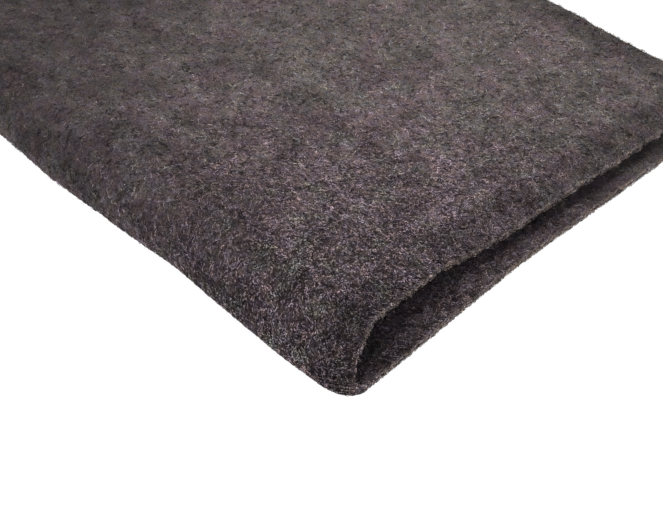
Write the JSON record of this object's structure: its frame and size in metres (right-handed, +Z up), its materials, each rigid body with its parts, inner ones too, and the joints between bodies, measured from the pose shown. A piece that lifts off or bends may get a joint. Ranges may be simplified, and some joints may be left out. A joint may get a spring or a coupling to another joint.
{
  "type": "folded felted wool fabric",
  "caption": "Cut length of thick charcoal felted wool cloth, folded over once and lying flat, its soft rounded fold at the front and raw cut edges on the other sides.",
  "frame": {"origin": "on the surface the cloth lies on, below the middle of the folded cloth", "axes": "+X along the fold, towards the cut side that is shown in front; +Y from the fold to the free ends; +Z up"},
  "size_m": [0.239, 0.1538, 0.0158],
  "materials": {
    "felt": "soft matt melange wool, slightly fuzzy"
  },
  "bodies": {
    "root": {"felt_cloth": "felt"}
  },
  "joints": []
}
